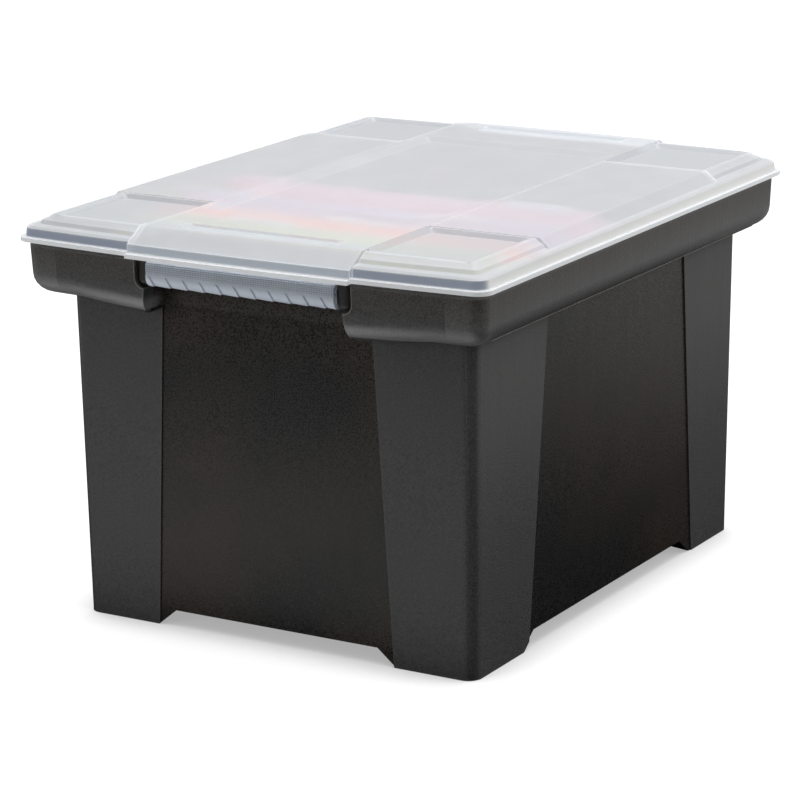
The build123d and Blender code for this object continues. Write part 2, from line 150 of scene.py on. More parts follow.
def plastic(build, output, specular, **inputs):
    """A Principled shader joined to the output, with its specular level set on the socket."""
    shader = build.add("ShaderNodeBsdfPrincipled", None, **inputs)
    shader.inputs["Specular IOR Level"].default_value = specular
    build.tree.links.new(shader.outputs[0], output.inputs[0])
    return shader


FLOW_SQUEEZE = 0.12             # the lines of flow are drawn out upwards by 1 over this
EDGE_TURN = (0.997, 0.955)      # how well two facings agree where an edge begins, and where it is full


def moulded_surface_group():
    """The surface of moulded plastic: soft clouds of tone, lines of flow and a fine grain."""
    tree = bpy.data.node_groups.new("moulded_surface", "ShaderNodeTree")
    sockets = tree.interface
    for name, value in (("Cloud Size", 0.1), ("Flow Width", 0.02), ("Grain Size", 0.0005)):
        sockets.new_socket(name, in_out="INPUT", socket_type="NodeSocketFloat").default_value = value
    for name in ("Cloud", "Flow", "Grain"):
        sockets.new_socket(name, in_out="OUTPUT", socket_type="NodeSocketFloat")
    b = Nodes(tree)
    given = b.add("NodeGroupInput").outputs
    result = b.add("NodeGroupOutput")
    coords = b.coords()
    flow_coords = b.stretched(coords, 1.0, 1.0, FLOW_SQUEEZE)
    patterns = {
        "Cloud": b.noise(coords, b.math("DIVIDE", 1.0, given["Cloud Size"]), 2.0, 0.6),
        "Flow": b.noise(flow_coords, b.math("DIVIDE", 1.0, given["Flow Width"]), 3.0, 0.6),
        "Grain": b.noise(coords, b.math("DIVIDE", 1.0, given["Grain Size"]), 1.0, 0.6),
    }
    for name, pattern in patterns.items():
        tree.links.new(pattern, result.inputs[name])
    return tree


def edges_group():
    """Where a surface turns at an edge, within a reach of it: 0 on flat faces and up to 1 on edges."""
    tree = bpy.data.node_groups.new("moulded_edges", "ShaderNodeTree")
    tree.interface.new_socket("Reach", in_out="INPUT", socket_type="NodeSocketFloat").default_value = 0.001
    tree.interface.new_socket("Edge", in_out="OUTPUT", socket_type="NodeSocketFloat")
    b = Nodes(tree)
    reach = b.add("NodeGroupInput").outputs["Reach"]
    result = b.add("NodeGroupOutput")
    rounded = b.add("ShaderNodeBevel", {"samples": 5}, Radius=reach).outputs[0]
    flat = b.add("ShaderNodeNewGeometry").outputs["Normal"]
    agree = b.add("ShaderNodeVectorMath", {"operation": "DOT_PRODUCT"}, i0=rounded, i1=flat)
    tree.links.new(b.step(agree.outputs["Value"], *EDGE_TURN), result.inputs["Edge"])
    return tree


MOULDED = moulded_surface_group()
EDGES = edges_group()


# ---- values that set the balance of light and finish ----

LEG_TONES, PANEL_TONES = ((62, 61, 61), (52, 52, 53)), ((35, 28, 22), (12, 12, 13))
# painted light: the long sides are made lighter towards the top
PAINTED_SIDE_LIGHT, PAINTED_SIDE_LIGHT_TONE = 0.26, (120, 120, 119)
# painted shade: the rounded corners between the sides and the ends are darkened
CORNER_SHADE, CORNER_SHADE_TONE = 0.55, (12, 12, 12)
# painted reflection: a warm tint on the rim's upper part, under the lid
WARM_RIM_REFLECTION, WARM_RIM_REFLECTION_SHARE = (58, 53, 48), 0.7
# painted highlight: a light band low on the ends' rolled rim
ROLL_HIGHLIGHT, ROLL_HIGHLIGHT_TONE = 0.8, (124, 124, 124)
ROLL_COAT, ROLL_COAT_ROUGH = 0.8, 0.35
# the tub's edges are made lighter, partly as wear and partly as a painted highlight
EDGE_WEAR_AND_HIGHLIGHT_TONE, LEG_EDGE_WEAR_AND_HIGHLIGHT, RIM_EDGE_WEAR_AND_HIGHLIGHT = (104, 104, 104), 0.3, 1.0
PIT_TONE, PEAK_TONE = (4, 4, 4), (150, 150, 148)
GRAIN_DARKER, GRAIN_LIGHTER, GRAIN_RELIEF = 0.17, (0.06, 0.03), 0.15 * MM
LEG_ROUGH, PANEL_ROUGH, RIM_ROUGH, TUB_SPECULAR = 0.62, 0.34, 0.4, 0.3
GRAIN_BUMP, FLOW_BUMP, FLOW_RELIEF = (0.5, 0.25), (0.3, 0.06), 0.6 * MM
# painted highlight: the beads' tones are much lighter than the tub's
BEAD_HIGHLIGHT_TONES = ((98, 93, 88), (132, 126, 120))
HANDLE_TONES = ((32, 29, 27), (22, 21, 20))
# painted light: the grip's lower part gets a lighter tone
GRIP_TONES, GRIP_PAINTED_LIGHT_TONE = ((156, 163, 173), (174, 181, 191)), (206, 214, 226)
# painted shade along the ribs' steps and the grip's edges
GRIP_STEP_SHADE_SHARE, GRIP_STEP_SHADE_TONE = 0.5, (84, 90, 102)
# painted shade in the grid's pits
GRIP_PIT_SHADE_SHARE, GRIP_PIT_SHADE_TONE = 0.85, (70, 75, 84)
LID_TONES = ((228, 231, 235), (240, 242, 245))
# painted highlight along the lid's edges
LID_EDGE_HIGHLIGHT_TONE = (250, 252, 254)
# painted shade: the end skirts, and less so their middles, are darker and bluer, for the dark rim behind them
LID_SIDE_SKIRT, LID_SHADED_END_SKIRT = (240, 240, 238), (154, 164, 182)
LID_SHADED_MIDDLE_SKIRT = (192, 202, 212)
# painted shade: the seats and the trough are darker
LID_SEAT_SHADE, LID_TROUGH_SHADE = (190, 193, 197), (198, 202, 207)
# painted shade: the lip's upward faces get the darker tone
LID_LIP_TONE, LID_LIP_TOP_SHADE = (236, 238, 240), (204, 205, 207)
LID_PASSING, LID_SEAT_PASSING, LID_SKIRT_PASSING, LID_LIP_PASSING = 0.5, 0.26, 0.22, 0.06
LID_GLOW_TONE, LID_FROST_TONE = (244, 247, 252), (252, 253, 255)
LID_FROST, LID_FROST_ROUGH, LID_FROST_IOR, LID_SHADOW = 0.75, 0.45, 1.2, 1.0
ROD_TONES, TAB_TONES = ((176, 178, 182), (206, 207, 209)), ((225, 232, 238), (240, 243, 246))
FOLDER_TOP_SHARE = 0.35

# how much of a value follows a pattern, and the value's least
TUB_EDGE_WEAR_AND_HIGHLIGHT_FLOW, TUB_ROUGH_FLOW, TUB_ROUGH_SPECKLE = (0.8, 0.1), (0.14, -0.07), (0.2, -0.1)
BEAD_ROUGH, HANDLE_ROUGH, GRIP_ROUGH = (0.2, 0.35), (0.16, 0.38), (0.15, 0.55)
LID_ROUGH, FOLDER_ROUGH, ROD_ROUGH, TAB_ROUGH = (0.12, 0.36), (0.15, 0.55), (0.2, 0.25), (0.25, 0.12)

BEAD_SPECULAR, HANDLE_SPECULAR, GRIP_SPECULAR, LID_SPECULAR = 0.4, 0.4, 0.35, 0.45
FOLDER_SPECULAR, ROD_SPECULAR, TAB_SPECULAR = 0.3, 0.5, 0.5
TAB_CLEARNESS, TAB_IOR = 0.75, 1.45

FLOOR_SIZE, FLOOR_Z = 30, -0.2 * MM
# to reflections the floor is painted: dark near the box and far in front as painted shade, pale behind
FLOOR_NEAR, FLOOR_FAR = 0.3, 1.1
FLOOR_DARK, FLOOR_PALE = grey(0.04), grey(0.4)
FLOOR_BACK_EDGE, FLOOR_BACK_SLANT = (-0.3, 0.3), 0.3
# painted light: a bright apron of floor in front of the box, seen in reflections
APRON_NEAR, APRON_FAR, APRON_RIGHT = (-0.2, -0.26), (-0.75, -0.45), (0.35, 0.15)
FLOOR_LIT_APRON = grey(0.75)
FLOOR_SHADE, FLOOR_WHITE = 0.3, 0.82
# a painted contact shadow: the floor's white is darkened by an ambient occlusion term
CONTACT_REACH, CONTACT_OPEN, CONTACT_SHADOW_TONE = 45 * MM, (0.3, 0.95), grey(0.46)
BACKDROP_WAY, BACKDROP_EDGE = (-0.1, 0.99, 0.0), (-0.1, 0.6)
DOME_FRONT, DOME_BACK, DOME_TOP = grey(0.15), grey(0.85), grey(1.05)
DOME_BELOW_FRONT, DOME_BELOW_BACK = grey(0.05), grey(0.3)
DOME_STRENGTH, DOME_LOW_EDGE, DOME_HIGH_EDGE = 0.85, (-0.25, 0.05), (0.25, 0.8)
LIGHT_TARGET = (0, 0, 0.18)
LIGHTS = (
    ("overhead_softbox", (0.1, 0.4, 2.4), 1.8, 46),
    ("left_softbox", (-1.0, -2.6, 0.9), 1.0, 17),
    ("right_softbox", (2.0, 0.7, 1.1), 1.1, 16),
)


# ---- materials ----

PANEL_TOP_Z = 227.5 * MM
END_PANEL = (93.5 * MM, -12.0 * MM)      # half width at the foot, and how much it changes by the top
SIDE_PANEL = (124.5 * MM, -22.5 * MM)
SIDE_PANEL_Y = 5.0 * MM
SIDE_FACE_X, END_FACE_Y = 150 * MM, 190 * MM      # a point further out is on a long side, or on an end
UNDER_GRIP_TOP_Z, UNDER_GRIP_HALF, UNDER_GRIP_Y = 246.0 * MM, 88.5 * MM, 213.0 * MM


def panel_mask(b, x, y, z):
    """1 on the sunken panels and under the grips, and 0 on the legs, foot and rim."""
    height = b.math("DIVIDE", z, PANEL_TOP_Z)
    wide, deep = b.math("ABSOLUTE", x), b.math("ABSOLUTE", y)
    from_middle = b.math("ABSOLUTE", b.math("SUBTRACT", y, SIDE_PANEL_Y))
    end_width, side_width = (b.math("MULTIPLY_ADD", height, change, foot)
                             for foot, change in (END_PANEL, SIDE_PANEL))
    end = b.math("LESS_THAN", wide, end_width)
    side = b.math("LESS_THAN", from_middle, side_width)
    side = b.math("MULTIPLY", side, b.math("GREATER_THAN", wide, SIDE_FACE_X))
    low = b.math("MULTIPLY", b.math("MAXIMUM", end, side), b.math("LESS_THAN", z, PANEL_TOP_Z))
    # under the grips the panels' darker tone stands as painted shade in the recess
    under_grip = b.math("LESS_THAN", wide, UNDER_GRIP_HALF)
    under_grip = b.math("MULTIPLY", under_grip, b.math("GREATER_THAN", z, PANEL_TOP_Z))
    under_grip = b.math("MULTIPLY", under_grip, b.math("LESS_THAN", z, UNDER_GRIP_TOP_Z))
    under_grip = b.math("MULTIPLY", under_grip, b.math("LESS_THAN", deep, UNDER_GRIP_Y))
    on_end = b.math("GREATER_THAN", deep, END_FACE_Y)
    at_end = b.math("MULTIPLY", b.math("MAXIMUM", low, under_grip), on_end)
    return b.math("MAXIMUM", b.math("MULTIPLY", side, low), at_end, clamp=True)


# heights and distances on the tub; of a pair, the first is where a change begins and the second where it ends
PAINTED_SIDE_LIGHT_Z = (70 * MM, 225 * MM)
CORNER_TURN, CORNER_TOP_Z = (0.24, 0.48), (229 * MM, 224 * MM)
PANEL_CLOUD, SPECKLE = (0.3, 0.7), (0.36, 0.64)
RIM_Z, WARM_RIM_REFLECTION_Z = (224.0 * MM, 229.0 * MM), (240 * MM, 262 * MM)
END_ROLL_Y, END_ROLL_Z = (196 * MM, 214 * MM), (228.4 * MM, 229.6 * MM)
ROLL_HIGHLIGHT_Z, ROLL_POLISH_Z = (240 * MM, 233 * MM), (248 * MM, 236 * MM)
TUB_EDGE_WEAR_AND_HIGHLIGHT_REACH = 2.4 * MM


def black_tub_plastic():
    """Black moulded plastic: grainy on the legs and rim, smoother and darker in the sunken panels."""
    material, b, output = new_material("black_tub_plastic")
    x, y, z = b.split(b.coords())
    deep = b.math("ABSOLUTE", y)
    panel = panel_mask(b, x, y, z)
    surface = b.group(MOULDED, Cloud_Size=110 * MM, Flow_Width=9 * MM, Grain_Size=1.1 * MM)
    at_side = b.math("GREATER_THAN", b.math("ABSOLUTE", x), SIDE_FACE_X)
    # painted light: the long sides are made lighter towards the top
    painted_side_light = b.math("MULTIPLY", b.step(z, *PAINTED_SIDE_LIGHT_Z), b.math("MULTIPLY", at_side, PAINTED_SIDE_LIGHT))
    leg_tone = b.mix(painted_side_light, b.tones(surface["Cloud"], LEG_TONES), srgb(*PAINTED_SIDE_LIGHT_TONE))
    # painted shade: the rounded corners are darkened below the rim
    facing_x, facing_y, _ = b.facing()
    corner_shade = b.step(b.math("ABSOLUTE", b.math("MULTIPLY", facing_x, facing_y)), *CORNER_TURN)
    corner_shade = b.math("MULTIPLY", corner_shade, b.step(z, *CORNER_TOP_Z))
    leg_tone = b.mix(b.math("MULTIPLY", corner_shade, CORNER_SHADE), leg_tone, srgb(*CORNER_SHADE_TONE))
    tone = b.mix(panel, leg_tone, b.tones(b.step(surface["Cloud"], *PANEL_CLOUD), PANEL_TONES))
    rim = b.step(z, *RIM_Z)
    # painted reflection: the rim's upper part is tinted warm
    tone = b.mix(b.math("MULTIPLY", b.step(z, *WARM_RIM_REFLECTION_Z), WARM_RIM_REFLECTION_SHARE), tone, srgb(*WARM_RIM_REFLECTION))
    end_roll = b.math("MULTIPLY", b.step(deep, *END_ROLL_Y), b.step(z, *END_ROLL_Z))
    # painted highlight: a light band low on the ends' rolled rim
    roll_highlight = b.math("MULTIPLY", end_roll, b.math("MULTIPLY", b.step(z, *ROLL_HIGHLIGHT_Z), ROLL_HIGHLIGHT))
    tone = b.mix(roll_highlight, tone, srgb(*ROLL_HIGHLIGHT_TONE))
    # the edges are made lighter, partly as wear and partly as a painted highlight
    edge = b.group(EDGES, Reach=TUB_EDGE_WEAR_AND_HIGHLIGHT_REACH)["Edge"]
    edge_wear_and_highlight = b.math("MULTIPLY", edge, b.math("MULTIPLY_ADD", surface["Flow"], *TUB_EDGE_WEAR_AND_HIGHLIGHT_FLOW))
    edge_wear_and_highlight = b.math("MULTIPLY", edge_wear_and_highlight, b.lerp(panel, b.lerp(rim, LEG_EDGE_WEAR_AND_HIGHLIGHT, RIM_EDGE_WEAR_AND_HIGHLIGHT), 0.0))
    tone = b.mix(edge_wear_and_highlight, tone, srgb(*EDGE_WEAR_AND_HIGHLIGHT_TONE))
    speckle = b.step(surface["Grain"], *SPECKLE)
    pit_tone = b.mix(GRAIN_DARKER, tone, srgb(*PIT_TONE))
    peak_tone = b.mix(b.lerp(panel, *GRAIN_LIGHTER), tone, srgb(*PEAK_TONE))
    tone = b.mix(speckle, pit_tone, peak_tone)
    rough = b.lerp(panel, b.lerp(rim, LEG_ROUGH, RIM_ROUGH), PANEL_ROUGH)
    rough = b.math("ADD", rough, b.math("MULTIPLY_ADD", surface["Flow"], *TUB_ROUGH_FLOW))
    rough = b.math("ADD", rough, b.math("MULTIPLY_ADD", speckle, *TUB_ROUGH_SPECKLE))
    grain = b.bump(speckle, GRAIN_RELIEF, b.lerp(panel, *GRAIN_BUMP))
    flow = b.bump(surface["Flow"], FLOW_RELIEF, b.lerp(panel, *FLOW_BUMP), Normal=grain)
    polished = b.math("MULTIPLY", end_roll, b.step(z, *ROLL_POLISH_Z))
    shader = plastic(b, output, TUB_SPECULAR, Base_Color=tone, Roughness=rough, Normal=flow,
                     Coat_Weight=b.math("MULTIPLY", polished, ROLL_COAT))
    shader.inputs["Coat Roughness"].default_value = ROLL_COAT_ROUGH
    return material


def highlight_bead_plastic():
    """The tub's plastic, made much lighter as a painted highlight along an edge."""
    material, b, output = new_material("highlight_bead_plastic")
    surface = b.group(MOULDED, Cloud_Size=12 * MM, Flow_Width=3 * MM, Grain_Size=0.6 * MM)
    # painted highlight: the beads get a light tone
    tone = b.tones(surface["Cloud"], BEAD_HIGHLIGHT_TONES)
    rough = b.math("MULTIPLY_ADD", surface["Flow"], *BEAD_ROUGH)
    relief = b.bump(surface["Grain"], 0.03 * MM, 0.5)
    plastic(b, output, BEAD_SPECULAR, Base_Color=tone, Roughness=rough, Normal=relief)
    return material


def black_handle_plastic():
    """Smooth black plastic of the handles' end blocks and bars."""
    material, b, output = new_material("black_handle_plastic")
    surface = b.group(MOULDED, Cloud_Size=25 * MM, Flow_Width=5 * MM, Grain_Size=1.0 * MM)
    tone = b.tones(surface["Cloud"], HANDLE_TONES)
    rough = b.math("MULTIPLY_ADD", surface["Flow"], *HANDLE_ROUGH)
    relief = b.bump(surface["Grain"], 0.04 * MM, 0.6)
    plastic(b, output, HANDLE_SPECULAR, Base_Color=tone, Roughness=rough, Normal=relief)
    return material


GRID_PITCH = 1.25 * MM
GRID_LOW_Z, GRID_FADE = 255.6 * MM, 1.6 * MM
# where the painted light low on the grip begins and is full, and the reach of the painted shade at its steps
GRIP_PAINTED_LIGHT_Z, GRIP_STEP_SHADE_REACH = (256 * MM, 249 * MM), 0.7 * MM


def grey_grip_rubber():
    """Soft grey rubber: a fine raised grid on the upper part, plain on the ribs."""
    material, b, output = new_material("grey_grip_rubber")
    x, _, z = b.split(b.coords())
    surface = b.group(MOULDED, Cloud_Size=14 * MM, Flow_Width=6 * MM, Grain_Size=0.7 * MM)
    waves = [b.math("SINE", b.math("MULTIPLY", side, 2 * math.pi / GRID_PITCH)) for side in (x, z)]
    across, up = (b.math("MULTIPLY_ADD", wave, 0.5, 0.5) for wave in waves)
    on_grid = b.step(z, GRID_LOW_Z, GRID_LOW_Z + GRID_FADE)
    pits = b.math("MULTIPLY", b.math("MULTIPLY", across, up), on_grid)
    tone = b.tones(surface["Cloud"], GRIP_TONES)
    # painted light: the grip's lower part is made lighter
    tone = b.mix(b.step(z, *GRIP_PAINTED_LIGHT_Z), tone, srgb(*GRIP_PAINTED_LIGHT_TONE))
    # painted shade: the ribs' steps and the grip's edges are darkened
    step_shade = b.group(EDGES, Reach=GRIP_STEP_SHADE_REACH)["Edge"]
    tone = b.mix(b.math("MULTIPLY", step_shade, GRIP_STEP_SHADE_SHARE), tone, srgb(*GRIP_STEP_SHADE_TONE))
    # painted shade: the grid's pits are darkened
    tone = b.mix(b.math("MULTIPLY", pits, GRIP_PIT_SHADE_SHARE), tone, srgb(*GRIP_PIT_SHADE_TONE))
    relief = b.bump(surface["Grain"], 0.05 * MM, 0.5, Normal=b.bump(pits, -0.4 * MM, 0.7))
    rough = b.math("MULTIPLY_ADD", surface["Flow"], *GRIP_ROUGH)
    plastic(b, output, GRIP_SPECULAR, Base_Color=tone, Roughness=rough, Normal=relief)
    return material


# the same on the lid, but the pairs for a seat and a trough are a middle and half a size
LID_SKIRT_Z, LID_LIP_Z = (275.9 * MM, 275.1 * MM), (269.9 * MM, 269.3 * MM)
LID_MIDDLE_X, LID_END_Y = (84 * MM, 87 * MM), (212 * MM, 218 * MM)
LID_LIP_TOP_SHADE_FACING = (0.6, 0.8)
LID_SEAT_X, LID_SEAT_Y = (122.2 * MM, 38.0 * MM), (166.2 * MM, 40.5 * MM)
LID_TROUGH_HALF_X, LID_TROUGH_Y = 60.5 * MM, (200 * MM, 7.5 * MM)
LID_EDGE_HIGHLIGHT_REACH = 1.8 * MM


def milky_lid_plastic():
    """Milky plastic: light spreads in it and gathers at its edges in a painted highlight, and what lies below
    tints it.
    """
    material, b, output = new_material("milky_lid_plastic")
    surface = b.group(MOULDED, Cloud_Size=24 * MM, Flow_Width=40 * MM, Grain_Size=0.7 * MM)
    edge = b.group(EDGES, Reach=LID_EDGE_HIGHLIGHT_REACH)["Edge"]
    normal = b.bump(surface["Grain"], 0.05 * MM, 0.3, Normal=b.bump(surface["Flow"], 0.6 * MM, 0.3))
    x, y, z = b.split(b.coords())
    wide, deep = b.math("ABSOLUTE", x), b.math("ABSOLUTE", y)
    tone = b.tones(surface["Cloud"], LID_TONES)
    skirt = b.step(z, *LID_SKIRT_Z)
    # painted shade: the end skirts, and less so their middles, are darker and bluer
    end_skirt_shade = b.tones(b.step(wide, *LID_MIDDLE_X), (LID_SHADED_MIDDLE_SKIRT, LID_SHADED_END_SKIRT))
    skirt_tone = b.mix(b.step(deep, *LID_END_Y), srgb(*LID_SIDE_SKIRT), end_skirt_shade)
    tone = b.mix(skirt, tone, skirt_tone)
    # painted highlight: the lid's edges are lighter
    tone = b.mix(edge, tone, srgb(*LID_EDGE_HIGHLIGHT_TONE))
    lip = b.step(z, *LID_LIP_Z)
    # painted shade: the lip's upward faces are darker
    facing_up = b.facing()[2]
    lip_tone = b.tones(b.step(facing_up, *LID_LIP_TOP_SHADE_FACING), (LID_LIP_TONE, LID_LIP_TOP_SHADE))
    tone = b.mix(lip, tone, lip_tone)
    # painted shade: the seats and the trough are darker
    in_seat = b.math("MULTIPLY", b.math("COMPARE", wide, *LID_SEAT_X), b.math("COMPARE", deep, *LID_SEAT_Y))
    tone = b.mix(in_seat, tone, srgb(*LID_SEAT_SHADE))
    in_trough = b.math("LESS_THAN", wide, LID_TROUGH_HALF_X)
    in_trough = b.math("MULTIPLY", in_trough, b.math("COMPARE", deep, *LID_TROUGH_Y))
    tone = b.mix(in_trough, tone, srgb(*LID_TROUGH_SHADE))
    rough = b.math("MULTIPLY_ADD", surface["Cloud"], *LID_ROUGH)
    skin = b.add("ShaderNodeBsdfPrincipled", None, Base_Color=tone, Roughness=rough, Normal=normal)
    skin.inputs["Specular IOR Level"].default_value = LID_SPECULAR
    glow = b.add("ShaderNodeBsdfTranslucent", None, Color=srgb(*LID_GLOW_TONE), Normal=normal)
    frost = b.add("ShaderNodeBsdfRefraction", None, Color=srgb(*LID_FROST_TONE), Roughness=LID_FROST_ROUGH,
                  IOR=LID_FROST_IOR, Normal=normal)
    passing = b.blend(LID_FROST, glow, frost)
    share = b.lerp(b.math("MAXIMUM", in_seat, in_trough), LID_PASSING, LID_SEAT_PASSING)
    share = b.lerp(lip, b.lerp(skirt, share, LID_SKIRT_PASSING), LID_LIP_PASSING)
    body = b.blend(share, skin, passing)

    # the light's way on, out of the inner face and down on to the folders, is left open
    inner = b.add("ShaderNodeNewGeometry").outputs["Backfacing"]
    shadow_ray = b.add("ShaderNodeLightPath").outputs["Is Shadow Ray"]
    dimming = b.mix(inner, grey(LID_SHADOW), WHITE)
    clear = b.add("ShaderNodeBsdfTransparent", None, Color=b.mix(shadow_ray, WHITE, dimming))
    open_way = b.math("MAXIMUM", inner, shadow_ray)
    seen = b.blend(open_way, body, clear)
    b.tree.links.new(seen.outputs[0], output.inputs[0])
    return material


FOLDER_TOP_Z = (252.5 * MM, 254.2 * MM)
ROD_LINES, TAB_SCUFFS = (30, 1800, 1800), (300, 300, 80)      # how close the pattern is in X, Y and Z


def folder_sheet(name, deep, light):
    """Coloured folder card with a faint fibre, lighter along its top edge."""
    material, b, output = new_material(name)
    _, _, z = b.split(b.coords())
    surface = b.group(MOULDED, Cloud_Size=35 * MM, Flow_Width=2.5 * MM, Grain_Size=0.8 * MM)
    share = b.math("MULTIPLY_ADD", surface["Flow"], 0.6, b.math("MULTIPLY", surface["Cloud"], 0.3))
    tone = b.mix(share, deep, light)
    tone = b.mix(b.math("MULTIPLY", b.step(z, *FOLDER_TOP_Z), FOLDER_TOP_SHARE), tone, light)
    rough = b.math("MULTIPLY_ADD", surface["Cloud"], *FOLDER_ROUGH)
    relief = b.bump(surface["Flow"], 0.08 * MM, 0.5)
    plastic(b, output, FOLDER_SPECULAR, Base_Color=tone, Roughness=rough, Normal=relief)
    return material


def folder_rod_steel():
    """Coated steel strip with fine lines along it."""
    material, b, output = new_material("folder_rod_steel")
    lines = b.noise(b.stretched(b.coords(), *ROD_LINES), 1.0, 3.0, 0.6)
    tone = b.tones(lines, ROD_TONES)
    rough = b.math("MULTIPLY_ADD", lines, *ROD_ROUGH)
    relief = b.bump(lines, 0.04 * MM, 0.4)
    plastic(b, output, ROD_SPECULAR, Base_Color=tone, Roughness=rough, Metallic=1.0, Normal=relief)
    return material


def clear_index_tab():
    """Clear plastic tab, faintly scuffed."""
    material, b, output = new_material("clear_index_tab")
    scuffs = b.noise(b.stretched(b.coords(), *TAB_SCUFFS), 1.0, 3.0, 0.7)
    tone = b.tones(scuffs, TAB_TONES)
    rough = b.math("MULTIPLY_ADD", scuffs, *TAB_ROUGH)
    shader = plastic(b, output, TAB_SPECULAR, Base_Color=tone, Roughness=rough)
    shader.inputs["Transmission Weight"].default_value = TAB_CLEARNESS
    shader.inputs["IOR"].default_value = TAB_IOR
    return material


# ---- pieces ----

SAME_POINT, SAME_PLANE = 0.02 * MM, math.radians(0.6)
WIDEST_BEVEL = 0.5 * MM      # the closest edges of each piece hold its bevel to 0.05 mm or less


def select_only(piece):
    bpy.ops.object.select_all(action="DESELECT")
    bpy.context.view_layer.objects.active = piece
    piece.select_set(True)


def edit(piece, *steps):
    """Runs steps in edit mode with all of the piece selected."""
    select_only(piece)
    bpy.ops.object.mode_set(mode="EDIT")
    bpy.ops.mesh.select_all(action="SELECT")
    for step in steps:
        step()
    bpy.ops.object.mode_set(mode="OBJECT")


def apply_place(piece):
    """Puts the piece's place, turn and scale into its mesh."""
    select_only(piece)
    bpy.ops.object.transform_apply(location=True, rotation=True, scale=True)


def modify(piece, kind, **settings):
    """Adds a modifier and applies it."""
    modifier = piece.modifiers.new(kind.lower(), kind)
    for name, value in settings.items():
        setattr(modifier, name, value)
    select_only(piece)
    bpy.ops.object.modifier_apply(modifier=modifier.name)


def shade(piece, angle):
    """Smooth shading that stays flat on flat faces, with edges above the angle left sharp."""
    select_only(piece)
    bpy.ops.object.shade_smooth_by_angle(angle=math.radians(angle))
    modify(piece, "WEIGHTED_NORMAL", keep_sharp=True)


def bevelled_copy(node, name, sharper_than):
    """A copy of a CAD node, bevelled very finely at the edges that are sharper than an angle."""
    piece = NODES[node].copy()
    piece.data = NODES[node].data.copy()
    piece.name = name
    piece.parent = None
    for key in [key for key in piece.keys() if key.startswith("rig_")]:
        del piece[key]
    bpy.context.scene.collection.objects.link(piece)
    edit(piece,
         lambda: bpy.ops.mesh.remove_doubles(threshold=SAME_POINT),
         lambda: bpy.ops.mesh.dissolve_limited(angle_limit=SAME_PLANE))
    modify(piece, "BEVEL", width=WIDEST_BEVEL, segments=3, limit_method="ANGLE",
           angle_limit=math.radians(sharper_than), use_clamp_overlap=True)
    shade(piece, 35)
    return piece


def install(piece, body, slot_name, material, *nodes):
    """Gives a finished piece its material, and makes it stand for its CAD nodes if it has any."""
    piece.data.materials.clear()
    piece.data.materials.append(material)
    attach(piece, body)
    if nodes:
        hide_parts(*nodes)


# -- grips --

GRIP_HALF = 73.0 * MM
GRIP_FRONT_Y, GRIP_BACK_Y = -228.3 * MM, -213.7 * MM
GRIP_LOW_Z, GRIP_HIGH_Z = 245.7 * MM, 264.5 * MM
GRIP_EDGES = (
    (GRIP_FRONT_Y, GRIP_LOW_Z, 12.4 * MM),
    (GRIP_FRONT_Y, GRIP_HIGH_Z, 3.6 * MM),
    (GRIP_BACK_Y, GRIP_LOW_Z, 2.0 * MM),
    (GRIP_BACK_Y, GRIP_HIGH_Z, 3.6 * MM),
)
GRIP_END_ROUND = 2.2 * MM
RIB_COUNT = 11
RIB_LENGTH = 22.0 * MM
RIB_FOOT_R, RIB_EDGE_R = 7.0 * MM, 8.0 * MM
RIB_SLANT, RIB_SWEEP = 0.75, -1.0
RIB_CUT_X, RIB_CUT_IN = 4.5 * MM, 2 * MM      # how far the slanted cut is from the thick end and low edge
RIB_ENDS_IN = 0.5 * MM                        # the row of ribs stops this far inside the grip's ends
GRIP_NEAR = 0.01 * MM
GRIP_WIDEST_BEVEL = 0.22 * MM                 # the closest edges of the ribs hold it to 0.005 mm or less


def select_edges(piece, chosen):
    """Selects, for edit mode, the edges whose two ends chosen() accepts."""
    edit(piece,
         lambda: bpy.ops.mesh.select_mode(type="EDGE"),
         lambda: bpy.ops.mesh.select_all(action="DESELECT"))
    points = [vertex.co for vertex in piece.data.vertices]
    for edge in piece.data.edges:
        edge.select = all(chosen(points[index]) for index in edge.vertices)


def round_edges(piece, chosen, radius, segments):
    """Rounds the edges whose two ends chosen() accepts."""
    select_edges(piece, chosen)
    bpy.ops.object.mode_set(mode="EDIT")
    bpy.ops.mesh.bevel(offset=radius, segments=segments, affect="EDGES")
    bpy.ops.object.mode_set(mode="OBJECT")


def cut_off(piece, place, way):
    """Cuts the piece through at a place, takes off the part that lies that way and closes the cut."""
    edit(piece, lambda: bpy.ops.mesh.bisect(plane_co=place, plane_no=way, clear_outer=True, use_fill=True))


def grip_bar():
    """The plain grip: a bar with its four long edges and then its two ends rounded."""
    size = (2 * GRIP_HALF, GRIP_BACK_Y - GRIP_FRONT_Y, GRIP_HIGH_Z - GRIP_LOW_Z)
    middle = (0, (GRIP_FRONT_Y + GRIP_BACK_Y) / 2, (GRIP_LOW_Z + GRIP_HIGH_Z) / 2)
    bpy.ops.mesh.primitive_cube_add(size=1, location=middle, scale=size)
    bar = bpy.context.object
    apply_place(bar)
    for corner_y, corner_z, radius in GRIP_EDGES:
        round_edges(bar, lambda at: max(abs(at.y - corner_y), abs(at.z - corner_z)) < GRIP_NEAR, radius, 9)
    for end_x in (-GRIP_HALF, GRIP_HALF):
        round_edges(bar, lambda at: abs(at.x - end_x) < GRIP_NEAR, GRIP_END_ROUND, 5)
    return bar


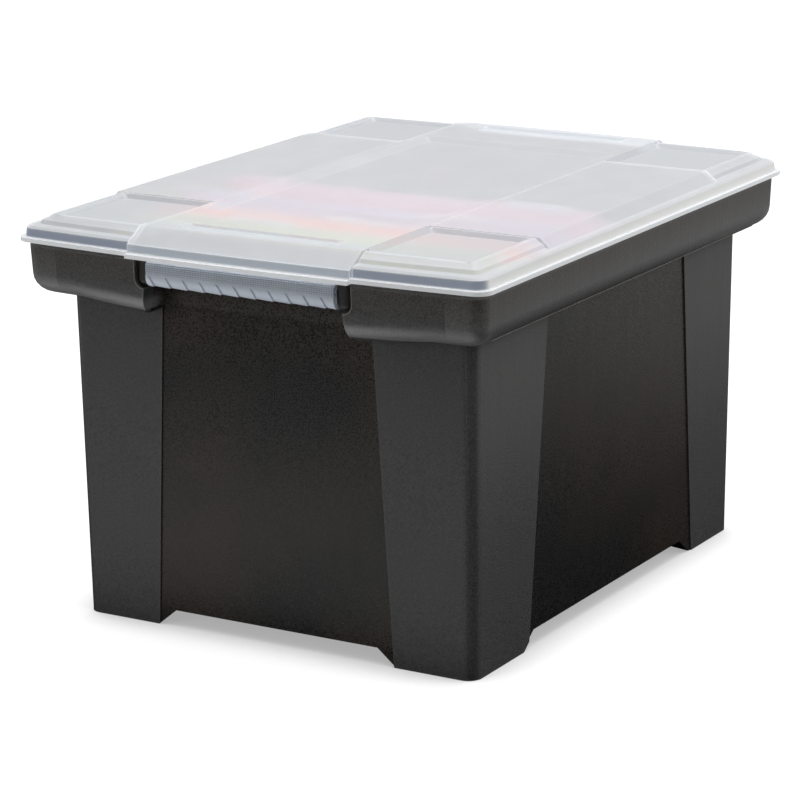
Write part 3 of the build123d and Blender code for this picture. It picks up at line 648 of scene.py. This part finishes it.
def grip_rib():
    """One rib: a slim cone along X whose thick end is cut off at a slant, as a curved step."""
    bpy.ops.mesh.primitive_cone_add(
        vertices=56, radius1=RIB_FOOT_R, radius2=RIB_EDGE_R, depth=RIB_LENGTH,
        location=(0, GRIP_FRONT_Y + RIB_EDGE_R, GRIP_LOW_Z + RIB_EDGE_R), rotation=(0, math.radians(90), 0))
    rib = bpy.context.object
    apply_place(rib)
    cut_at = (RIB_LENGTH / 2 - RIB_CUT_X, GRIP_FRONT_Y + RIB_CUT_IN, GRIP_LOW_Z + RIB_CUT_IN)
    cut_off(rib, cut_at, (1, -RIB_SWEEP, RIB_SLANT))
    return rib


def ribbed_grip(name, end_side):
    """A whole grip with its row of ribs, for the front (-1) or the rear (1)."""
    pitch = 2 * GRIP_HALF / RIB_COUNT
    first = grip_rib()
    ribs = [first]
    for count in range(1, RIB_COUNT + 1):
        copy = first.copy()
        copy.data = first.data.copy()
        bpy.context.scene.collection.objects.link(copy)
        copy.location.x = (count - RIB_COUNT / 2) * pitch
        ribs.append(copy)
    first.location.x = -RIB_COUNT / 2 * pitch
    select_only(first)
    for rib in ribs:
        rib.select_set(True)
    bpy.ops.object.join()
    apply_place(first)
    for side in (-1, 1):
        cut_off(first, (side * (GRIP_HALF - RIB_ENDS_IN), 0, 0), (side, 0, 0))
    grip = grip_bar()
    grip.name = name
    modify(grip, "BOOLEAN", object=first, operation="UNION", solver="EXACT", use_self=True)
    bpy.data.objects.remove(first)
    edit(grip, lambda: bpy.ops.mesh.remove_doubles(threshold=GRIP_NEAR))
    modify(grip, "BEVEL", width=GRIP_WIDEST_BEVEL, segments=2, limit_method="ANGLE",
           angle_limit=math.radians(32), use_clamp_overlap=True)
    if end_side > 0:
        grip.rotation_euler.z = math.radians(180)
        apply_place(grip)
    shade(grip, 40)
    return grip


# -- beads: thin lines of painted highlight round the handle pockets' lower corners and along the long rims' feet --

BEAD_HALF_X, BEAD_LOW_Z, BEAD_HIGH_Z = 83.8 * MM, 244.2 * MM, 263.0 * MM
BEAD_CORNER_R = 6.8 * MM
POCKET_BEAD_R, RIM_FOOT_BEAD_R = 0.26 * MM, 0.34 * MM
POCKET_FACE_Y, LOOK_FROM_Y = 214.0 * MM, 0.3
DOWN_STEPS, CORNER_STEPS = 6, 8
RIM_FOOT_X, RIM_FOOT_HALF_Y, RIM_FOOT_Z = 168.8 * MM, 196.0 * MM, 231.3 * MM


def bead_piece(name, radius, lines):
    """One mesh of thin round beads, each along its own line of places."""
    beads = []
    for line in lines:
        data = bpy.data.curves.new(f"{name}_line", "CURVE")
        data.dimensions, data.bevel_depth, data.bevel_resolution = "3D", radius, 2
        data.use_fill_caps = True
        spline = data.splines.new("POLY")
        spline.points.add(len(line) - 1)
        for point, place in zip(spline.points, line):
            point.co = (*place, 1.0)
        bead = bpy.data.objects.new(name, data)
        bpy.context.scene.collection.objects.link(bead)
        beads.append(bead)
    select_only(beads[0])
    for bead in beads:
        bead.select_set(True)
    bpy.ops.object.convert(target="MESH")
    bpy.ops.object.join()
    made = bpy.context.view_layer.objects.active
    made.name = name
    shade(made, 60)
    return made


def pocket_edge(tub, side, end_side):
    """Places on the tub's face down a handle pocket's edge and round its lower corner."""
    centre_x, centre_z = BEAD_HALF_X - BEAD_CORNER_R, BEAD_LOW_Z + BEAD_CORNER_R
    down = centre_z - BEAD_HIGH_Z
    outline = [(BEAD_HALF_X, BEAD_HIGH_Z + down * step / DOWN_STEPS) for step in range(DOWN_STEPS)]
    for step in range(CORNER_STEPS + 1):
        turn = math.radians(90 * step / CORNER_STEPS)
        outline.append((centre_x + BEAD_CORNER_R * math.cos(turn), centre_z - BEAD_CORNER_R * math.sin(turn)))
    places = []
    for x, z in outline:
        look_from, way = Vector((side * x, end_side * LOOK_FROM_Y, z)), Vector((0, -end_side, 0))
        hit, place = tub.ray_cast(look_from, way)[:2]
        if hit and abs(place.y) > POCKET_FACE_Y:
            places.append(place)
    return places


def rim_foot_edge(side):
    """Places along the foot of the rolled rim on one long side."""
    return [(side * RIM_FOOT_X, y, RIM_FOOT_Z) for y in (-RIM_FOOT_HALF_Y, 0, RIM_FOOT_HALF_Y)]


# ---- putting the box together ----

BEVEL_ABOVE, LID_BEVEL_ABOVE = 28, 22      # degrees between two faces
FOLDER_COLOURS = {
    "teal": (srgb(70, 175, 205), srgb(140, 210, 230)),
    "yellow": (srgb(255, 205, 0), srgb(255, 225, 20)),
    "red": (srgb(245, 50, 40), srgb(255, 95, 70)),
    "violet": (srgb(130, 120, 220), srgb(170, 160, 240)),
    "pink": (srgb(238, 125, 140), srgb(250, 165, 175)),
}

tub = bevelled_copy("tub", "tub_moulding", BEVEL_ABOVE)
install(tub, "tub", "tub_plastic", black_tub_plastic(), "tub")
lid = bevelled_copy("lid", "lid_shell", LID_BEVEL_ABOVE)
install(lid, "lid", "lid_plastic", milky_lid_plastic(), "lid")
handle_look, grip_look, bead_highlight_look = black_handle_plastic(), grey_grip_rubber(), highlight_bead_plastic()
for end_name, end_side in (("front", -1), ("rear", 1)):
    handle = f"{end_name}_handle"
    pocket_lines = [pocket_edge(tub, side, end_side) for side in (-1, 1)]
    # thin beads of painted highlight round the pockets' lower corners
    beads = bead_piece(f"{end_name}_pocket_highlight_beads", POCKET_BEAD_R, pocket_lines)
    install(beads, "tub", "tub_plastic", bead_highlight_look)
    blocks = bevelled_copy(f"{handle}_frame", f"{handle}_blocks", BEVEL_ABOVE)
    install(blocks, handle, "handle_plastic", handle_look, f"{handle}_frame")
    grip = ribbed_grip(f"{handle}_grip_ribbed", end_side)
    install(grip, handle, "grip_rubber", grip_look, f"{handle}_grip")
# a thin bead of painted highlight along each long rim's foot
rim_foot_lines = [rim_foot_edge(side) for side in (-1, 1)]
rim_foot_highlight_beads = bead_piece("rim_foot_highlight_beads", RIM_FOOT_BEAD_R, rim_foot_lines)
install(rim_foot_highlight_beads, "tub", "tub_plastic", bead_highlight_look)

rod_look, tab_look = folder_rod_steel(), clear_index_tab()
for colour, (deep, light) in FOLDER_COLOURS.items():
    sheet_look = folder_sheet(f"{colour}_folder_sheet", deep, light)
    looks = {"sleeve": sheet_look, "rods": rod_look, "tab": tab_look}
    for part, look in looks.items():
        node = NODES[f"{colour}_folder_{part}"]
        node.data.materials.clear()
        node.data.materials.append(look)


# ---- floor, light and camera ----

def white_floor():
    """A white floor that keeps the box's shadow, with a painted contact shadow close under it, and sends up
    little light.
    """
    bpy.ops.mesh.primitive_plane_add(size=FLOOR_SIZE, location=(0, 0, FLOOR_Z))
    floor = bpy.context.object
    floor.name = "studio_floor"
    material, b, output = new_material("studio_floor_white")
    coords = b.coords()
    x, y, _ = b.split(coords)
    away = b.add("ShaderNodeVectorMath", {"operation": "LENGTH"}, i0=coords).outputs["Value"]
    # painted shade and light seen only in reflections: dark near the box and far in front, pale behind,
    # bright on an apron in front
    behind = b.step(b.math("ADD", y, b.math("MULTIPLY", x, FLOOR_BACK_SLANT)), *FLOOR_BACK_EDGE)
    far = b.mix(behind, FLOOR_DARK, FLOOR_PALE)
    apron = b.math("MULTIPLY", b.step(y, *APRON_NEAR), b.step(y, *APRON_FAR))
    apron = b.math("MULTIPLY", apron, b.step(x, *APRON_RIGHT))
    bounce = b.mix(b.step(away, FLOOR_NEAR, FLOOR_FAR), FLOOR_DARK, far)
    bounce = b.mix(apron, bounce, FLOOR_LIT_APRON)
    seen = b.add("ShaderNodeBsdfDiffuse", None, Color=grey(FLOOR_SHADE))
    # painted contact shadow: the floor's white is darkened close to the box
    openness = b.add("ShaderNodeAmbientOcclusion", {"samples": 8}, Distance=CONTACT_REACH)
    contact_shadow = b.mix(b.step(openness.outputs["AO"], *CONTACT_OPEN), CONTACT_SHADOW_TONE, WHITE)
    white = b.add("ShaderNodeEmission", None, Color=contact_shadow, Strength=FLOOR_WHITE)
    for_camera = b.add("ShaderNodeAddShader", None, i0=seen.outputs[0], i1=white.outputs[0])
    for_others = b.add("ShaderNodeBsdfDiffuse", None, Color=bounce)
    camera_ray = b.add("ShaderNodeLightPath").outputs["Is Camera Ray"]
    both = b.blend(camera_ray, for_others, for_camera)
    b.tree.links.new(both.outputs[0], output.inputs[0])
    floor.data.materials.append(material)


def surround():
    """A white surround for the camera, and a soft dome that is dim below and towards the front."""
    world = bpy.data.worlds.new("studio_surround")
    bpy.context.scene.world = world
    world.use_nodes = True
    world.node_tree.nodes.clear()
    b = Nodes(world.node_tree)
    output = b.add("ShaderNodeOutputWorld")
    direction = b.add("ShaderNodeTexCoord").outputs["Generated"]
    _, _, height = b.split(direction)
    facing = b.add("ShaderNodeVectorMath", {"operation": "DOT_PRODUCT"}, i0=direction, i1=BACKDROP_WAY)
    behind = b.step(facing.outputs["Value"], *BACKDROP_EDGE)
    level = b.mix(behind, DOME_FRONT, DOME_BACK)
    below = b.mix(behind, DOME_BELOW_FRONT, DOME_BELOW_BACK)
    dome = b.mix(b.step(height, *DOME_LOW_EDGE), below, level)
    dome = b.mix(b.step(height, *DOME_HIGH_EDGE), dome, DOME_TOP)
    around = b.add("ShaderNodeBackground", None, Color=dome, Strength=DOME_STRENGTH)
    white = b.add("ShaderNodeBackground", None, Color=WHITE, Strength=1.0)
    camera_ray = b.add("ShaderNodeLightPath").outputs["Is Camera Ray"]
    both = b.blend(camera_ray, around, white)
    b.tree.links.new(both.outputs[0], output.inputs[0])


def softbox(name, place, target, size, power):
    """A square soft light at place, facing target."""
    data = bpy.data.lights.new(name, "AREA")
    data.shape, data.size, data.energy = "SQUARE", size, power
    light = bpy.data.objects.new(name, data)
    bpy.context.scene.collection.objects.link(light)
    light.location = place
    light.rotation_euler = (Vector(target) - Vector(place)).to_track_quat("-Z", "Y").to_euler()


CAMERA_PLACE = (1.1501, -1.9572, 0.7364)
CAMERA_TURN, CAMERA_RISE, CAMERA_ROLL = math.radians(30.76), math.radians(15.07), math.radians(-0.72)
CAMERA_LENS, CAMERA_SENSOR = 148.44, 36.0


def camera():
    """The camera, looking down at the front right corner of the box."""
    data = bpy.data.cameras.new("front_right_camera")
    data.sensor_width, data.lens = CAMERA_SENSOR, CAMERA_LENS
    made = bpy.data.objects.new("front_right_camera", data)
    bpy.context.scene.collection.objects.link(made)
    flat = math.cos(CAMERA_RISE)
    back = Vector((math.sin(CAMERA_TURN) * flat, -math.cos(CAMERA_TURN) * flat, math.sin(CAMERA_RISE)))
    level_right = Vector((math.cos(CAMERA_TURN), math.sin(CAMERA_TURN), 0))
    level_up = back.cross(level_right)
    right = level_right * math.cos(CAMERA_ROLL) + level_up * math.sin(CAMERA_ROLL)
    up = level_up * math.cos(CAMERA_ROLL) - level_right * math.sin(CAMERA_ROLL)
    pose = Matrix((right, up, back)).transposed().to_4x4()
    pose.translation = Vector(CAMERA_PLACE)
    made.matrix_world = pose
    bpy.context.scene.camera = made


white_floor()
surround()
for light_name, light_place, light_size, light_power in LIGHTS:
    softbox(light_name, light_place, LIGHT_TARGET, light_size, light_power)
camera()
bpy.context.scene.view_settings.view_transform = "Standard"
